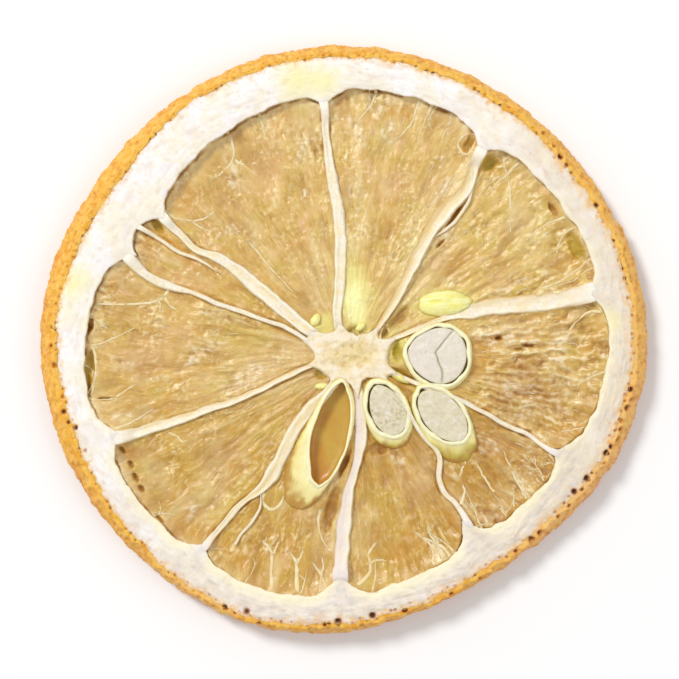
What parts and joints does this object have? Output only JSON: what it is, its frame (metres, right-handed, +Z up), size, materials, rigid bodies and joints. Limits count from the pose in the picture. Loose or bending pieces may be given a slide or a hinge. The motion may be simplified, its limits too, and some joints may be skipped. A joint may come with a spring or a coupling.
{
  "type": "dried lemon slice",
  "caption": "Thin round slice of dried lemon lying flat: a rind ring round a sunken film of flesh, with membranes from the core and a few cut seeds near it.",
  "frame": {"origin": "under the middle of the slice, on the surface that it lies on", "axes": "+Z up, out of the shown cut face; +X to the right and +Y to the top of that face, seen from above"},
  "size_m": [0.0503, 0.0487, 0.0035],
  "materials": {
    "flesh": "dried citrus flesh, satin, slightly see-through",
    "rind": "dried orange-yellow rind with dark pores, satin",
    "pith": "dry spongy white pith and membranes, matt",
    "seed": "cut seed kernels and their pale husks, satin"
  },
  "bodies": {
    "root": {"lemon_slice": "flesh"}
  },
  "joints": []
}
